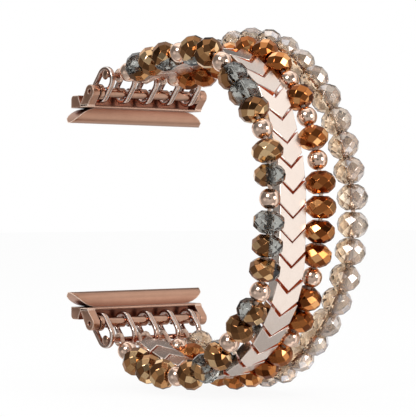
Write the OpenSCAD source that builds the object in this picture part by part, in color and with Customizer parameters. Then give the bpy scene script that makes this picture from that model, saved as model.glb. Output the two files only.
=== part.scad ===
// Beaded bracelet band for a square watch: four elastic strands between two slide-in adapters.
// X runs across the wrist with the crown side at -X, +Z points to 12 o'clock, -Y to the wrist.
// The origin is the middle of the upper adapter's rail, where the watch holds the band.

/* [Watch fit] */
// Length of the watch case from one slot mouth to the other
case_length = 40.2; // [38:0.1:45]
// Width of the watch case, and so of each slot and rail
case_width = 36.2; // [34:0.2:40]
// Thickness of the rail from front to back
rail_thick = 4.2; // [3.6:0.1:4.6]
// How deep the rail reaches into the case
rail_depth = 3.1; // [2.6:0.1:3.6]
// Radius of the case's corner, which the rail ends follow
case_corner = 7; // [5.5:0.5:8]

/* [Adapter] */
// How far each ear stands in from the side of the case
ear_inset = 3.3; // [2.6:0.1:3.5]
// Thickness of each ear
ear_thick = 1.8; // [1.4:0.1:2]
// Radius of the ear's rounded end
ear_round = 1.4; // [1.2:0.1:1.6]
// Height of the spring bar over the slot mouth
bar_rise = 3.1; // [3:0.1:3.8]
// How far the spring bar stands from the rail towards the wrist
bar_lean = 4.1; // [3.5:0.1:4.8]
// Thickness of the flange that lies on the case
flange_thick = 0.5; // [0.4:0.05:0.6]
// Height of the wall in front of the spring bar over the slot mouth
wall_height = 2.5; // [2.2:0.1:2.8]
// Radius of the wall's upper front edge
wall_round = 0.8; // [0.4:0.1:1]

/* [Spring bar] */
// Outside diameter of the tube
tube_d = 1.5; // [1.4:0.02:1.6]
// Wall of the tube
tube_wall = 0.2; // [0.16:0.02:0.24]
// Diameter of the plunger tip that enters the ear
tip_d = 0.8; // [0.7:0.05:0.9]
// How far the tip reaches into the ear
tip_reach = 1.4; // [1:0.1:1.6]
// Length of the plunger's shank inside the tube
shank_length = 7; // [5:0.5:8]
// Wire diameter of the inner spring
spring_wire = 0.18; // [0.14:0.02:0.22]
// Number of turns of the inner spring
spring_turns = 9; // [7:1:10]

/* [Ring stack] */
// Number of rings on each bar, one more than there are strands
ring_count = 5; // [5:1:5]
// Thickness of a ring along the bar
ring_thick = 1.1; // [0.9:0.1:1.3]
// Width of a ring over its short axis
ring_wide = 5.2; // [5.1:0.1:5.4]
// Length of a ring over its long axis
ring_long = 7.9; // [7.6:0.1:8.1]
// Width of the metal round the ring's opening
ring_band = 0.85; // [0.75:0.05:0.95]
// Lean of the rings from the upright towards the wrist
ring_lean = 40; // [36:1:44]
// Diameter of the spacer sleeves between the rings
sleeve_d = 2.1; // [2:0.05:2.4]
// Diameter of the washers at the ears
washer_d = 3.2; // [2.8:0.1:3.6]
// Thickness of the washers
washer_thick = 1; // [0.8:0.05:1.05]
// Diameter of the rod that the cords loop round
rod_d = 1.1; // [0.9:0.1:1.2]
// Diameter of the small heads of that rod
rod_head_d = 2; // [1.7:0.1:2.4]
// Thickness of those heads
rod_head_thick = 0.4; // [0.3:0.05:0.6]

/* [Beads] */
// Diameter of the faceted beads over their corners
bead_d = 6.1; // [5.7:0.1:6.2]
// Thickness of the bronze and smoky beads along the cord
bead_thick = 4.1; // [4:0.05:4.5]
// Thickness of the copper beads along the cord
copper_thick = 4.2; // [4:0.05:4.6]
// Thickness of the pale crystal beads along the cord
crystal_thick = 4.75; // [4.5:0.05:5.1]
// Number of facets round a bead
facet_count = 8; // [8:1:10]
// Diameter of the flat end of a bead
bead_flat_d = 2.9; // [2.4:0.1:3.1]
// Diameter of the gold balls
ball_d = 3.9; // [3.6:0.1:3.9]
// Least gap between neighbours on a cord
bead_gap = 0.15; // [0.12:0.01:0.25]
// Side gap between neighbouring strands
strand_gap = 0.2; // [0.15:0.05:0.4]

/* [Chevrons] */
// Width of a chevron link
chevron_wide = 6.6; // [6.2:0.1:6.7]
// Length of a chevron along the strand, measured on one arm
chevron_long = 4.05; // [3.9:0.05:4.4]
// Depth of the V
chevron_dip = 2.6; // [2:0.1:3]
// Thickness of a chevron
chevron_thick = 2.2; // [1.9:0.1:2.3]
// Width of the bevel round a chevron's faces
chevron_bevel = 0.22; // [0.1:0.02:0.3]
// Least gap between nested chevrons
chevron_gap = 0.4; // [0.35:0.05:0.5]
// Distance between the two cords of the chevron strand
chevron_cords = 3.4; // [3.2:0.1:3.5]

/* [Cords] */
// Diameter of the elastic cords
cord_d = 0.8; // [0.6:0.05:0.9]
// Diameter of the holes through beads, balls and chevrons
hole_d = 1.2; // [1.1:0.05:1.3]

/* [Hidden] */
SEGMENTS = 7;
END_NODES = ["adapter", "spring_bar_tube", "plunger_left", "plunger_right", "bar_spring",
  "link_rings", "spacer_sleeves", "washers", "strand_rod"];
CORD_NODES = ["mixed_cord", "chevron_cord_left", "chevron_cord_right", "copper_cord", "crystal_cord"];
BEAD_NODES = ["mixed_beads", "gold_balls", "chevron_links", "copper_beads", "crystal_beads"];

rose_gold = [0.79, 0.56, 0.47];
pale_gold = [0.93, 0.80, 0.74];
bronze = [0.50, 0.34, 0.20];
copper = [0.60, 0.33, 0.17];
crystal = [0.84, 0.77, 0.72];
elastic = [0.90, 0.88, 0.86];
steel = [0.75, 0.75, 0.77];

// Running clearance on a diameter, and the gap left between faces that slide
running = 0.1;
face_gap = 0.1;

// Positions seen along X, as [y, z] with the watch's middle at zero
mouth_z = case_length / 2;
rail_z = mouth_z - rail_depth / 2;
bar = [-bar_lean, mouth_z + bar_rise];
lean = [-sin(ring_lean), cos(ring_lean)];
across = [cos(ring_lean), sin(ring_lean)];
// Each ring rests with its lower flank on the spring bar; the rod lies in its outer end
ring_rise = (ring_wide / 2 - ring_band - tube_d / 2 - face_gap / 2) / sin(ring_lean);
ring_middle = bar + [0, ring_rise];
ring_half_flank = (ring_long - ring_wide) / 2;
rod = ring_middle + (ring_long / 2 - ring_band - rod_d / 2 - face_gap / 2) * lean;
eye_r = (rod_d + cord_d) / 2 + face_gap;
// The wall's hollow clears the rings when they turn round the spring bar
ring_sweep = norm(ring_rise * [0, 1] - ring_half_flank * lean) + ring_wide / 2;
wall_room = 0.25;
// The rings, sleeves and washers share out the width between the ears
ear_span = case_width - 2 * ear_inset;
ear_inside = ear_span / 2 - ear_thick;
ring_pitch = (2 * (ear_inside - washer_thick - 2 * face_gap) - ring_thick) / (ring_count - 1);
stack_half = (ring_count - 1) / 2 * ring_pitch;
tube_half = ear_inside - face_gap;
tube_bore = tube_d - 2 * tube_wall;

// Strands from the crown side: bronze and smoky mix, chevrons, copper, pale crystal.
// Each route is seen along X and runs from the upper rod to the lower one.
route_mixed = [[-11, 27.3], [-19, 28.8], [-29, 30], [-37, 28.8], [-42.5, 24], [-48, 18.2],
  [-51.5, 12], [-52.5, 4], [-52, -4], [-51, -12], [-48, -18.7], [-41.5, -24.8], [-35, -30.2],
  [-28, -32.4], [-19, -32.2], [-11, -30]];
route_chevron = [[-12, 27.2], [-20, 28.4], [-28, 29.6], [-34, 29.3], [-38.7, 27], [-42.4, 24],
  [-45.6, 20.6], [-48.6, 13], [-50.4, 5], [-50.4, -5], [-49.8, -13], [-47.1, -19.8],
  [-41.5, -26.7], [-34, -31.2], [-25, -32.2], [-16, -30.6], [-10.5, -28.6]];
route_copper = [[-12, 26.7], [-18.5, 26.8], [-25, 29], [-31, 30.8], [-36, 30], [-42, 25.5],
  [-47, 19.5], [-50.3, 12], [-52, 4], [-51.8, -4], [-50, -12], [-46.5, -20.5], [-41.5, -26.7],
  [-34, -31.6], [-25, -33], [-16, -30.8], [-10.5, -28.6]];
route_crystal = [[-11, 29.5], [-18, 32.4], [-25, 33.2], [-31, 32.2], [-37, 29.8], [-43.4, 24.6],
  [-48.8, 18.4], [-52, 10.5], [-54, 3], [-54, -5], [-52.2, -13], [-48, -20.5], [-42, -27],
  [-35, -31.6], [-27, -32.8], [-18, -30.8], [-11, -28.4]];

// Order of the pieces on a cord: b ball, r bronze or smoky, c copper, p pale crystal, v chevron
order_mixed = "brrrbrrbrrrbrrbrrrbrrbrrrbrrrb";
order_chevron = "v";
order_copper = "bcccccccbcbcbccccbccbcccccccb";
order_crystal = "p";

// Bare cord from the rod's middle to the nearest piece, so that each kind clears the rings
function bare(kind) = kind == "b" ? 1.6 : kind == "v" ? 2.3 : kind == "p" ? 1.9 : 3.2;
bare_first_chevron = 5.5;
bare_first_crystal = 2.8;
// Where the strands begin to fan out from the rings, and the length over which they do so
fan_start = 2.5;
fan_length = 6;

// Sideways places of the strands when packed side by side, centred on the band
packed_wide = 3 * bead_d + chevron_wide + 3 * strand_gap;
place_mixed = -packed_wide / 2 + bead_d / 2;
place_chevron = place_mixed + bead_d / 2 + strand_gap + chevron_wide / 2;
place_copper = place_chevron + chevron_wide / 2 + strand_gap + bead_d / 2;
place_crystal = place_copper + bead_d + strand_gap;

function piece_length(kind) =
  kind == "b" ? ball_d : kind == "v" ? chevron_long : kind == "p" ? crystal_thick :
  kind == "c" ? copper_thick : bead_thick;
function piece_gap(kind) = kind == "v" ? chevron_gap : bead_gap;

// Point on the smooth curve through four route points, at t from 0 to 1 between the middle two
function curve_point(a, b, c, d, t) =
  0.5 * (2 * b + (c - a) * t + (2 * a - 5 * b + 4 * c - d) * t * t + (3 * b - a - 3 * c + d) * t * t * t);
CURVE_STEPS = 8;
function whole_route(middle) = concat([rod], middle, [[rod.x, -rod.y]]);
function smooth_route(p) = concat(
  [for (i = [0:len(p) - 2])
    for (k = [0:CURVE_STEPS - 1])
      curve_point(p[max(i - 1, 0)], p[i], p[i + 1], p[min(i + 2, len(p) - 1)], k / CURVE_STEPS)],
  [p[len(p) - 1]]);
function run_lengths(p, i = 0, sum = 0) =
  i == len(p) - 1 ? [sum] : concat([sum], run_lengths(p, i + 1, sum + norm(p[i + 1] - p[i])));

// A strand is [length table for y, length table for z, length, x at the rings, x when packed]
function make_strand(middle, gap_index, place) =
  let (p = smooth_route(whole_route(middle)), s = run_lengths(p))
  [[for (i = [0:len(p) - 1]) [s[i], p[i].x]],
   [for (i = [0:len(p) - 1]) [s[i], p[i].y]],
   s[len(s) - 1],
   (gap_index - 1.5) * ring_pitch,
   place];
strand_mixed = make_strand(route_mixed, 0, place_mixed);
strand_chevron = make_strand(route_chevron, 1, place_chevron);
strand_copper = make_strand(route_copper, 2, place_copper);
strand_crystal = make_strand(route_crystal, 3, place_crystal);

// Share of the fan reached at a length from the nearer rod, rising smoothly from 0 to 1
function fan_share(s, whole) = 
  let (u = min(1, max(0, (min(s, whole - s) - fan_start) / fan_length))) u * u * (3 - 2 * u);
function on_strand(strand, s) =
  [strand[3] + (strand[4] - strand[3]) * fan_share(s, strand[2]),
   lookup(s, strand[0]),
   lookup(s, strand[1])];

// Half of the gap that a piece needs at length s: on a bend its flat ends need more room inside
function end_reach(kind) = kind == "v" ? chevron_thick / 2 : kind == "b" ? 0 : bead_flat_d / 2;
function half_gap(strand, kind, s) =
  let (long = piece_length(kind),
    a = on_strand(strand, s) - on_strand(strand, s - long),
    b = on_strand(strand, s + long) - on_strand(strand, s),
    bend = acos(min(1, a * b / norm(a) / norm(b))))
  piece_gap(kind) / 2 + end_reach(kind) * tan(bend / 2);
function taken(strand, kind, s) =
  half_gap(strand, kind, s) + piece_length(kind) + half_gap(strand, kind, s + piece_length(kind));

// Lengths at which the pieces begin, and the end of the last, while they fit on the cord.
// A little slack is shared out between the pieces, the rest stays at the lower end.
function piece_marks(strand, order, s, spare, room, i = 0) =
  let (kind = order[i % len(order)], next = s + taken(strand, kind, s) + spare)
  next > strand[2] + room - bare(kind) ? [s] : concat([s], piece_marks(strand, order, next, spare, room, i + 1));
function lay_out(strand, order, first) =
  let (tight = piece_marks(strand, order, first, 0, 0),
    n = len(tight) - 1,
    spare = min(0.05, (strand[2] - bare(order[(n - 1) % len(order)]) - tight[n]) / n),
    marks = piece_marks(strand, order, first, spare * 0.98, 1))
  [[for (i = [0:n - 1]) order[i % len(order)]], [for (i = [0:n]) marks[i]], spare];
laid_mixed = lay_out(strand_mixed, order_mixed, bare("b"));
laid_chevron = lay_out(strand_chevron, order_chevron, bare_first_chevron);
laid_copper = lay_out(strand_copper, order_copper, bare("b"));
laid_crystal = lay_out(strand_crystal, order_crystal, bare_first_crystal);

// Segment of the band, 1 to 7, that the piece between two lengths belongs to
function segment_of(a, b, whole) = min(SEGMENTS, 1 + floor(SEGMENTS * (a + b) / 2 / whole));

// Places everything in the part's own frame, from positions measured at the watch's middle
module from_watch() {
  translate([0, 0, -rail_z])
    children();
}

// Lower end of the band: the upper end turned over
module other_end() {
  mirror([0, 0, 1])
    children();
}

// Turns a shape drawn in the YZ plane into a bar along X, centred on x
module along_x(length, x = 0) {
  translate([x - length / 2, 0, 0])
    rotate([90, 0, 90])
      linear_extrude(length)
        children();
}

// Round bar along X through a [y, z] position
module round_x(d, length, at, x = 0) {
  translate([x - length / 2, at.x, at.y])
    rotate([0, 90, 0])
      cylinder(d = d, h = length, $fn = 48);
}

// Stands local axes on the chord between two points: x sideways, y outwards, z along the strand
module on_chord(p, q) {
  d = (q - p) / norm(q - p);
  side = [1, 0, 0] - d.x * d;
  u = side / norm(side);
  n = cross(d, u);
  m = (p + q) / 2;
  multmatrix([[u.x, n.x, d.x, m.x], [u.y, n.y, d.y, m.y], [u.z, n.z, d.z, m.z], [0, 0, 0, 1]])
    children();
}

// Seen from behind the watch: flat end with a corner arc at each side
module case_end_outline() {
  corner_x = case_width / 2 - case_corner;
  for (side = [-1, 1])
    translate([side * corner_x, mouth_z - case_corner])
      circle(r = case_corner, $fn = 96);
  translate([-corner_x, mouth_z - 2 * case_corner])
    square([2 * corner_x, 2 * case_corner]);
}

// Rail section: straight flanks and a half-round root
module rail_section() {
  root = rail_thick / 2;
  translate([0, mouth_z - rail_depth + root])
    circle(r = root, $fn = 64);
  translate([-root, mouth_z - rail_depth + root])
    square([rail_thick, rail_depth - root]);
}

// Leaning ear with a rounded end about the spring bar
module ear_section() {
  foot = [-rail_thick / 4, -rail_thick / 4 - 2 * ear_round + 0.2];
  root = [(foot[0] + foot[1]) / 2, mouth_z];
  up = (bar - root) / norm(bar - root);
  flank = [up.y, -up.x];
  translate(bar)
    circle(r = ear_round, $fn = 48);
  polygon([bar + ear_round * flank, [foot[0], mouth_z + flange_thick], [foot[0], mouth_z + 0.1],
    [foot[1], mouth_z + 0.1], [foot[1], mouth_z + flange_thick], bar - ear_round * flank]);
}

module adapter() {
  color(rose_gold)
    difference() {
      union() {
        intersection() {
          along_x(case_width)
            rail_section();
          rotate([90, 0, 0])
            translate([0, 0, -rail_thick])
              linear_extrude(2 * rail_thick)
                case_end_outline();
        }
        along_x(ear_span)
          flange_section();
        along_x(ear_span)
          wall_section();
        along_x(case_width - 2 * case_corner)
          translate([-rail_thick / 4, mouth_z - flange_thick])
            square([rail_thick / 2, 1.5 * flange_thick]);
        for (side = [-1, 1])
          along_x(ear_thick, side * (ear_span - ear_thick) / 2)
            ear_section();
      }
      round_x(tip_d + running, ear_span + 2, bar);
    }
}

// Thin flange on the case with a rolled front lip
module flange_section() {
  lip = flange_thick / 2;
  front = bar.x + ear_round / 2;
  translate([front, mouth_z])
    square([rail_thick / 2 - front, flange_thick]);
  translate([front, mouth_z + lip])
    circle(r = lip, $fn = 32);
}

// Wall in front of the spring bar: rounded at its upper front edge, hollowed round the rings' path
module wall_section() {
  front = rail_thick / 2;
  difference() {
    union() {
      translate([bar.x, mouth_z])
        square([front - bar.x, wall_height - wall_round]);
      translate([bar.x, mouth_z])
        square([front - wall_round - bar.x, wall_height]);
      translate([front - wall_round, mouth_z + wall_height - wall_round])
        circle(r = wall_round, $fn = 48);
    }
    translate(bar)
      circle(r = ring_sweep + wall_room, $fn = 96);
  }
}

module spring_bar_tube() {
  color(steel)
    difference() {
      round_x(tube_d, 2 * tube_half, bar);
      round_x(tube_bore, 2 * tube_half + 2, bar);
    }
}

module plunger(side) {
  shank_d = tube_bore - running;
  color(steel) {
    round_x(shank_d, shank_length, bar, side * (tube_half - shank_length / 2));
    round_x(tip_d, ear_inside - tube_half + tip_reach, bar,
      side * (tube_half + (ear_inside - tube_half + tip_reach) / 2));
  }
}

// Round wire wound along X: rings of six points, eight rings to a turn, closed at both ends
module bar_spring() {
  sides = 6;
  coil_r = (tube_bore - running - spring_wire) / 2;
  run = 2 * (tube_half - shank_length - face_gap) - spring_wire;
  rings = 8 * spring_turns;
  pitch = run / spring_turns;
  echo(str("bar spring: gap between turns ", pitch - spring_wire, " mm"));
  points = [for (i = [0:rings])
    let (turn = 360 * i / 8, x = -run / 2 + run * i / rings)
    for (k = [0:sides - 1])
      let (w = 360 * k / sides, r = coil_r + spring_wire / 2 * cos(w))
      [x + spring_wire / 2 * sin(w), bar.x + r * cos(turn), bar.y + r * sin(turn)]];
  color(steel)
    polyhedron(points, tube_faces(rings + 1, sides, false), convexity = 10);
}

// Triangles of a tube of rings of points, closed at both ends; flip turns it inside out
function tube_faces(rings, sides, flip) =
  let (faces = concat(
    [for (i = [0:rings - 2]) for (k = [0:sides - 1])
      [i * sides + k, i * sides + (k + 1) % sides, (i + 1) * sides + (k + 1) % sides]],
    [for (i = [0:rings - 2]) for (k = [0:sides - 1])
      [i * sides + k, (i + 1) * sides + (k + 1) % sides, (i + 1) * sides + k]],
    [[for (k = [sides - 1:-1:0]) k]],
    [[for (k = [0:sides - 1]) (rings - 1) * sides + k]]))
  flip ? [for (f = faces) [for (j = [len(f) - 1:-1:0]) f[j]]] : faces;

// Long oval about the ring's middle, leaning as the ring does
module oval(wide, half_flank) {
  r = wide / 2;
  near = ring_middle - half_flank * lean;
  far = ring_middle + half_flank * lean;
  translate(near)
    circle(r = r, $fn = 64);
  translate(far)
    circle(r = r, $fn = 64);
  polygon([near + r * across, far + r * across, far - r * across, near - r * across]);
}

module link_rings() {
  color(rose_gold)
    for (i = [0:ring_count - 1])
      difference() {
        along_x(ring_thick, i * ring_pitch - stack_half)
          oval(ring_wide, ring_half_flank);
        along_x(ring_thick + 2, i * ring_pitch - stack_half)
          oval(ring_wide - 2 * ring_band, ring_half_flank);
      }
}

module spacer_sleeves() {
  color(rose_gold)
    for (i = [0:ring_count - 2]) {
      x = (i + 0.5) * ring_pitch - stack_half;
      difference() {
        round_x(sleeve_d, ring_pitch - ring_thick - face_gap, bar, x);
        round_x(tube_d + running, ring_pitch + 2, bar, x);
      }
    }
}

module washers() {
  middle = (stack_half + ring_thick / 2 + ear_inside) / 2;
  color(rose_gold)
    for (side = [-1, 1])
      difference() {
        round_x(washer_d, washer_thick, bar, side * middle);
        round_x(tube_d + running, 4 * washer_thick, bar, side * middle);
      }
}

// Rod through the rings' outer ends, with a small rounded head beyond the last ring at each side
module strand_rod() {
  head_x = stack_half + ring_thick / 2 + face_gap / 2;
  half = rod_head_d / 2;
  color(rose_gold) {
    round_x(rod_d, 2 * head_x, rod);
    for (side = [-1, 1])
      translate([side * head_x, rod.x, rod.y])
        rotate([0, 90 * side, 0])
          rotate_extrude($fn = 48)
            polygon([[0, 0], [half, 0], [half, rod_head_thick / 3], [half * 0.8, rod_head_thick * 0.75],
              [half * 0.5, rod_head_thick], [0, rod_head_thick]]);
  }
}

// Faceted bead: five rows of flat facets between two small flat ends.
// The heights follow from the radii so that every four-sided facet is flat.
module faceted_bead(thick) {
  n = facet_count;
  c = cos(180 / n);
  r_end = bead_flat_d / 2;
  r_max = bead_d / 2;
  r_mid = r_max * c;
  r_top = r_end + 0.55 * (r_max - r_end);
  z_end = thick / 2;
  k = (r_max - r_mid * c) / (r_max - r_top);
  m = (r_top * c - r_end) / (r_mid - r_end);
  z_top = z_end * (1 - m) / (1 - m * k);
  z_mid = z_top * k;
  rows = [[r_end, z_end, 0], [r_top, z_top, 0.5], [r_mid, z_mid, 0], [r_max, 0, 0.5],
    [r_mid, -z_mid, 0], [r_top, -z_top, 0.5], [r_end, -z_end, 0]];
  points = [for (row = rows) for (i = [0:n - 1])
    [row[0] * cos(360 * (i + row[2]) / n), row[0] * sin(360 * (i + row[2]) / n), row[1]]];
  faces = concat(
    [[for (i = [n - 1:-1:0]) i]],
    [for (i = [0:n - 1]) [i, (i + 1) % n, n + i]],
    [for (i = [0:n - 1]) [i, n + i, 2 * n + i, n + (i + n - 1) % n]],
    [for (i = [0:n - 1]) [n + i, 2 * n + (i + 1) % n, 3 * n + i, 2 * n + i]],
    [for (i = [0:n - 1]) [2 * n + i, 3 * n + i, 4 * n + i, 3 * n + (i + n - 1) % n]],
    [for (i = [0:n - 1]) [4 * n + i, 3 * n + i, 4 * n + (i + 1) % n, 5 * n + i]],
    [for (i = [0:n - 1]) [5 * n + i, 6 * n + i, 5 * n + (i + n - 1) % n, 4 * n + i]],
    [for (i = [0:n - 1]) [6 * n + (i + 1) % n, 6 * n + i, 5 * n + i]],
    [[for (i = [0:n - 1]) 6 * n + i]]);
  difference() {
    polyhedron(points, faces, convexity = 4);
    cylinder(d = hole_d, h = thick + 2, center = true, $fn = 32);
  }
}

module gold_ball() {
  difference() {
    sphere(d = ball_d, $fn = 64);
    cylinder(d = hole_d, h = ball_d + 2, center = true, $fn = 32);
  }
}

// Outline moved inwards by the same distance on every side, for a list of points in turning order
function moved_in(p, d) =
  [for (i = [0:len(p) - 1])
    let (a = p[(i + len(p) - 1) % len(p)], b = p[i], c = p[(i + 1) % len(p)],
      e = (b - a) / norm(b - a), f = (c - b) / norm(c - b),
      ne = [-e.y, e.x], nf = [-f.y, f.x])
    b + d * (ne + nf) / (1 + ne * nf)];

// Chevron link: a V with bevelled faces, nested in its neighbours, with two cord holes
module chevron_link() {
  w = chevron_wide / 2;
  arm = chevron_long / 2;
  dip = chevron_dip / 2;
  outline = [[0, arm + dip], [-w, arm - dip], [-w, -arm - dip], [0, dip - arm], [w, -arm - dip], [w, arm - dip]];
  inner = moved_in(outline, chevron_bevel);
  t = chevron_thick / 2;
  layers = [[inner, -t], [outline, chevron_bevel - t], [outline, t - chevron_bevel], [inner, t]];
  points = [for (layer = layers) for (p = layer[0]) [p.x, layer[1], p.y]];
  difference() {
    polyhedron(points, tube_faces(len(layers), len(outline), false), convexity = 6);
    for (side = [-1, 1])
      translate([side * chevron_cords / 2, 0, 0])
        cylinder(d = hole_d, h = 3 * chevron_long, center = true, $fn = 32);
  }
}

// The pieces of one kind on a strand that belong to one segment, each turned about the cord
module pieces(strand, laid, wanted, segment) {
  golden_turn = 137.5;
  for (i = [0:len(laid[0]) - 1])
    if (laid[0][i] == wanted && segment_of(laid[1][i], laid[1][i + 1], strand[2]) == segment)
      on_chord(on_strand(strand, laid[1][i]), on_strand(strand, laid[1][i + 1]))
        translate([0, 0, (half_gap(strand, wanted, laid[1][i]) - half_gap(strand, wanted, laid[1][i + 1])) / 2])
          rotate([0, 0, wanted == "v" ? 0 : i * golden_turn])
            children();
}

module mixed_beads(segment) {
  color(bronze)
    pieces(strand_mixed, laid_mixed, "r", segment)
      faceted_bead(bead_thick);
}

module gold_balls(segment) {
  color(rose_gold) {
    pieces(strand_mixed, laid_mixed, "b", segment)
      gold_ball();
    pieces(strand_copper, laid_copper, "b", segment)
      gold_ball();
  }
}

module chevron_links(segment) {
  color(pale_gold)
    pieces(strand_chevron, laid_chevron, "v", segment)
      chevron_link();
}

module copper_beads(segment) {
  color(copper)
    pieces(strand_copper, laid_copper, "c", segment)
      faceted_bead(copper_thick);
}

module crystal_beads(segment) {
  color(crystal)
    pieces(strand_crystal, laid_crystal, "p", segment)
      faceted_bead(crystal_thick);
}

// Elastic cord: an eye round each rod, and straight runs from piece to piece between them.
// The eye starts beside the rod and turns round it until it meets the strand.
EYE_RINGS = 8;
function eye_points(x, start, centre, sign) =
  let (d = start - centre, reach = norm(d), heading = atan2(d.y, d.x), off = sign * acos(eye_r / reach))
  [for (k = [0:EYE_RINGS - 1])
    let (w = heading + off + sign * (250 * (EYE_RINGS - 1 - k) / (EYE_RINGS - 1)))
    [x, centre.x + eye_r * cos(w), centre.y + eye_r * sin(w)]];
function reversed(list) = [for (i = [len(list) - 1:-1:0]) list[i]];

module cord(strand, laid, offset, rod_offset) {
  sides = 8;
  joints = [for (s = laid[1]) on_strand(strand, s) + [offset, 0, 0]];
  first = joints[0];
  last = joints[len(joints) - 1];
  x_end = strand[3] + rod_offset;
  path = concat(
    eye_points(x_end, [first.y, first.z], rod, 1),
    joints,
    reversed(eye_points(x_end, [last.y, last.z], [rod.x, -rod.y], -1)));
  points = [for (i = [0:len(path) - 1])
    let (a = path[max(i - 1, 0)], b = path[min(i + 1, len(path) - 1)],
      d = (b - a) / norm(b - a), side = [1, 0, 0] - d.x * d, u = side / norm(side), n = cross(d, u))
    for (k = [0:sides - 1])
      path[i] + cord_d / 2 * (u * cos(360 * k / sides) + n * sin(360 * k / sides))];
  color(elastic)
    polyhedron(points, tube_faces(len(path), sides, true), convexity = 20);
}

module mixed_cord() {
  cord(strand_mixed, laid_mixed, 0, 0);
}

module chevron_cord_left() {
  cord(strand_chevron, laid_chevron, -chevron_cords / 2, -ring_pitch / 5);
}

module chevron_cord_right() {
  cord(strand_chevron, laid_chevron, chevron_cords / 2, ring_pitch / 5);
}

module copper_cord() {
  cord(strand_copper, laid_copper, 0, 0);
}

module crystal_cord() {
  cord(strand_crystal, laid_crystal, 0, 0);
}

module end_piece(name) {
  if (name == "adapter") adapter();
  if (name == "spring_bar_tube") spring_bar_tube();
  if (name == "plunger_left") plunger(-1);
  if (name == "plunger_right") plunger(1);
  if (name == "bar_spring") bar_spring();
  if (name == "link_rings") link_rings();
  if (name == "spacer_sleeves") spacer_sleeves();
  if (name == "washers") washers();
  if (name == "strand_rod") strand_rod();
}

module bead_piece(name, segment) {
  if (name == "mixed_beads") mixed_beads(segment);
  if (name == "gold_balls") gold_balls(segment);
  if (name == "chevron_links") chevron_links(segment);
  if (name == "copper_beads") copper_beads(segment);
  if (name == "crystal_beads") crystal_beads(segment);
}

for (e = END_NODES) {
  from_watch() end_piece(e);
  from_watch() other_end() end_piece(e);
}
from_watch() mixed_cord();
from_watch() chevron_cord_left();
from_watch() chevron_cord_right();
from_watch() copper_cord();
from_watch() crystal_cord();
for (k = [1:SEGMENTS])
  for (b = BEAD_NODES)
    from_watch() bead_piece(b, k);
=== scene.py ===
import math
import bpy
import numpy as np
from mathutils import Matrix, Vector


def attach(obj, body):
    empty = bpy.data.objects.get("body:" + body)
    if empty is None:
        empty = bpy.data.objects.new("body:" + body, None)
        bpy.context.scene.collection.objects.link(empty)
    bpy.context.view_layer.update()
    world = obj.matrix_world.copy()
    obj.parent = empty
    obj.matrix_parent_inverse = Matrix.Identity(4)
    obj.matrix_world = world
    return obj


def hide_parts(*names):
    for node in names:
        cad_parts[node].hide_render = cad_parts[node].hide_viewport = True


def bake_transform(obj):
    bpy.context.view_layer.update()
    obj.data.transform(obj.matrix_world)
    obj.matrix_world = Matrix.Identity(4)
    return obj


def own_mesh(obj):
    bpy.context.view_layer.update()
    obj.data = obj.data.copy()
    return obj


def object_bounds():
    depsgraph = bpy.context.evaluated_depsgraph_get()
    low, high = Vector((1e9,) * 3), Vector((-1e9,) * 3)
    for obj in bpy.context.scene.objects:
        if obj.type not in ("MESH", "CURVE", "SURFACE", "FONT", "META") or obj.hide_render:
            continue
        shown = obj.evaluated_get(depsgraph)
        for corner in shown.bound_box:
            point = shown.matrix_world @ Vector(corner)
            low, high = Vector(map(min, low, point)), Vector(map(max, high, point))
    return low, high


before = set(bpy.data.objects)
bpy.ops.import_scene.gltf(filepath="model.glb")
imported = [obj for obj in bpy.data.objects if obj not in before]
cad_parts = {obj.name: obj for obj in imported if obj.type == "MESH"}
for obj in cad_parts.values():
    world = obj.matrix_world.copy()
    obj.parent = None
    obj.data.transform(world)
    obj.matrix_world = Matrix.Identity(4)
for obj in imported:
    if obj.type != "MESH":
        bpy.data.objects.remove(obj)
cad_box = [list(corner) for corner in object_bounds()]


# Slide-in adapters, upper and lower: one satin rose-gold casting each. A rail with a half-round
# root slides into its slot, its ends cut to the slot's round corners. A thin flange along it
# carries a hollowed wall in front of the rings, and two leaning ears hold the spring bar.
mm = 0.001
slot_middle, slot_mouth = 18.55, 20.1
spring_bar = np.array([-4.1, slot_mouth + 3.1])
casting_half = 14.8
ear_place, ear_half, ear_hole = 13.9, 0.9, 0.45
ends = (("top", "upper", 1), ("bottom", "lower", -1))


# Forms are drawn in millimetres for the upper end, x across the band and z up from the middle of
# the loop, and moved to the part's frame at the end.
def in_frame(points):
    """Millimetres from the middle of the loop, as metres from the middle of the upper slot."""
    return (points - [0, 0, slot_middle]) * mm


def at_end(shells, up):
    """Shells drawn for the upper end, with z turned over where up is -1."""
    return [(points * [1, 1, up], faces) for points, faces in shells]


def skin(grid, along_closed=False):
    """Joins neighbouring points of a grid [rings, points a ring] into quads, every ring closed on
    itself; the first and last ring get a flat face each, or join each other."""
    rings, sides = grid.shape[:2]
    i, k = np.meshgrid(np.arange(rings if along_closed else rings - 1), np.arange(sides), indexing="ij")
    j, m = (i + 1) % rings, (k + 1) % sides
    faces = np.stack([i * sides + k, i * sides + m, j * sides + m, j * sides + k], -1).reshape(-1, 4).tolist()
    if not along_closed:
        faces.append(list(range(sides - 1, -1, -1)))
        faces.append(list(range((rings - 1) * sides, rings * sides)))
    return grid.reshape(-1, 3), faces


def outward(points, faces):
    """Turns the faces over if the volume they enclose, summed from tetrahedra to the origin, is negative."""
    volume = 0.0
    for face in faces:
        p = points[face]
        volume += np.einsum("ij,ij->", np.cross(p[1:-1], p[2:]), np.broadcast_to(p[0], p[2:].shape))
    return [face[::-1] for face in faces] if volume < 0 else faces


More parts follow.
